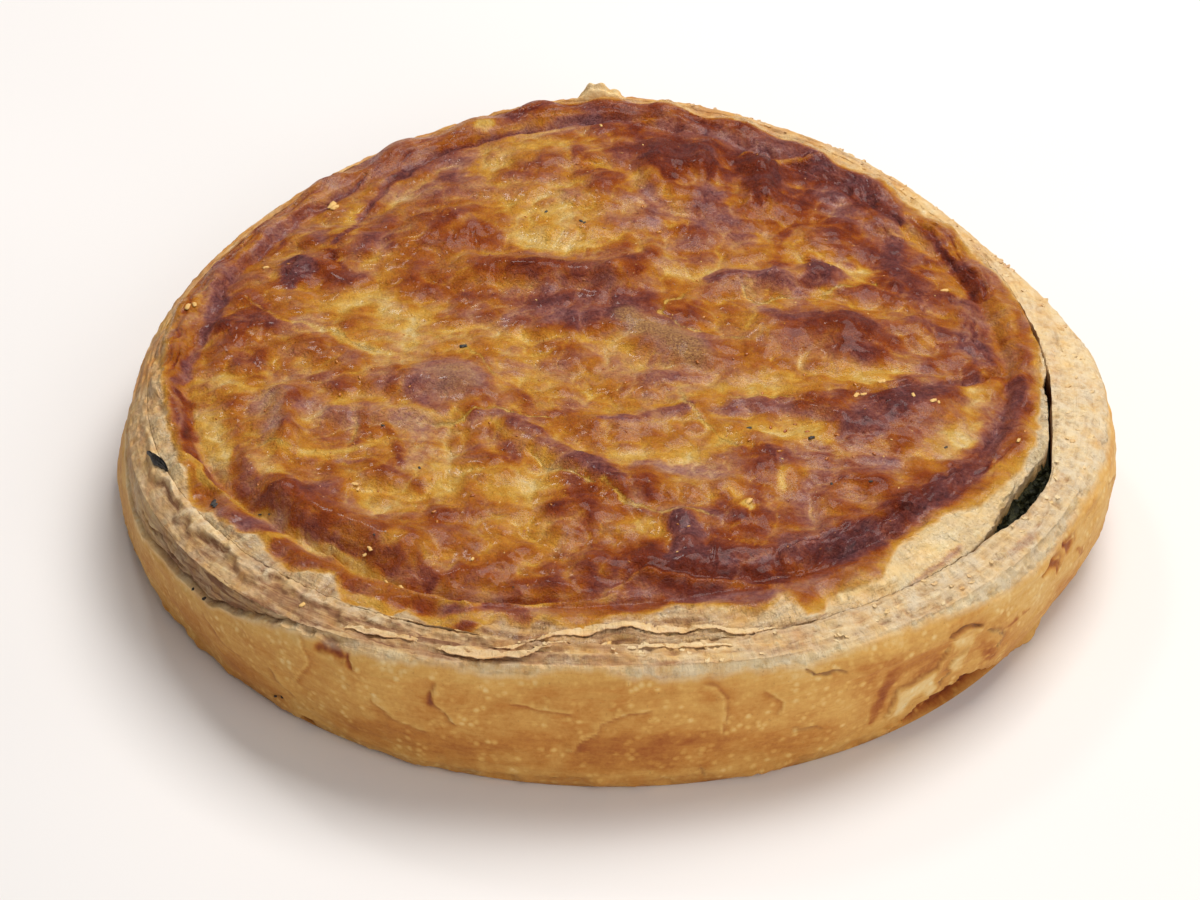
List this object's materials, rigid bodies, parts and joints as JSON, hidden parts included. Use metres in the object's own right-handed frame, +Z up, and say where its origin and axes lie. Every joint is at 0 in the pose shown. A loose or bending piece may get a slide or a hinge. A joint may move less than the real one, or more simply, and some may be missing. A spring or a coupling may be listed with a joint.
{
  "type": "savoury pie",
  "caption": "Round savoury pie with a golden pastry case, a pale layered edge, a wrinkled glossy brown lid with a folded border, and dark green filling in a split at the edge.",
  "frame": {"origin": "middle of the flat base, on the surface that the pie stands on", "axes": "+Z up, -Y towards the side where the layered pale edge shows most, +X towards the side with the split"},
  "size_m": [0.2831, 0.2784, 0.0541],
  "materials": {
    "pale_crust": "baked golden pastry, matt and floury along the pale edge",
    "browned_lid": "egg-washed pastry browned from gold to mahogany, satin gloss",
    "greens": "cooked dark green leaves, moist",
    "dried_leaf": "leaf dried nearly black in the oven"
  },
  "bodies": {
    "root": {"crust_case": "pale_crust", "lid": "browned_lid", "filling": "greens", "leaf_scrap": "dried_leaf"}
  },
  "joints": []
}
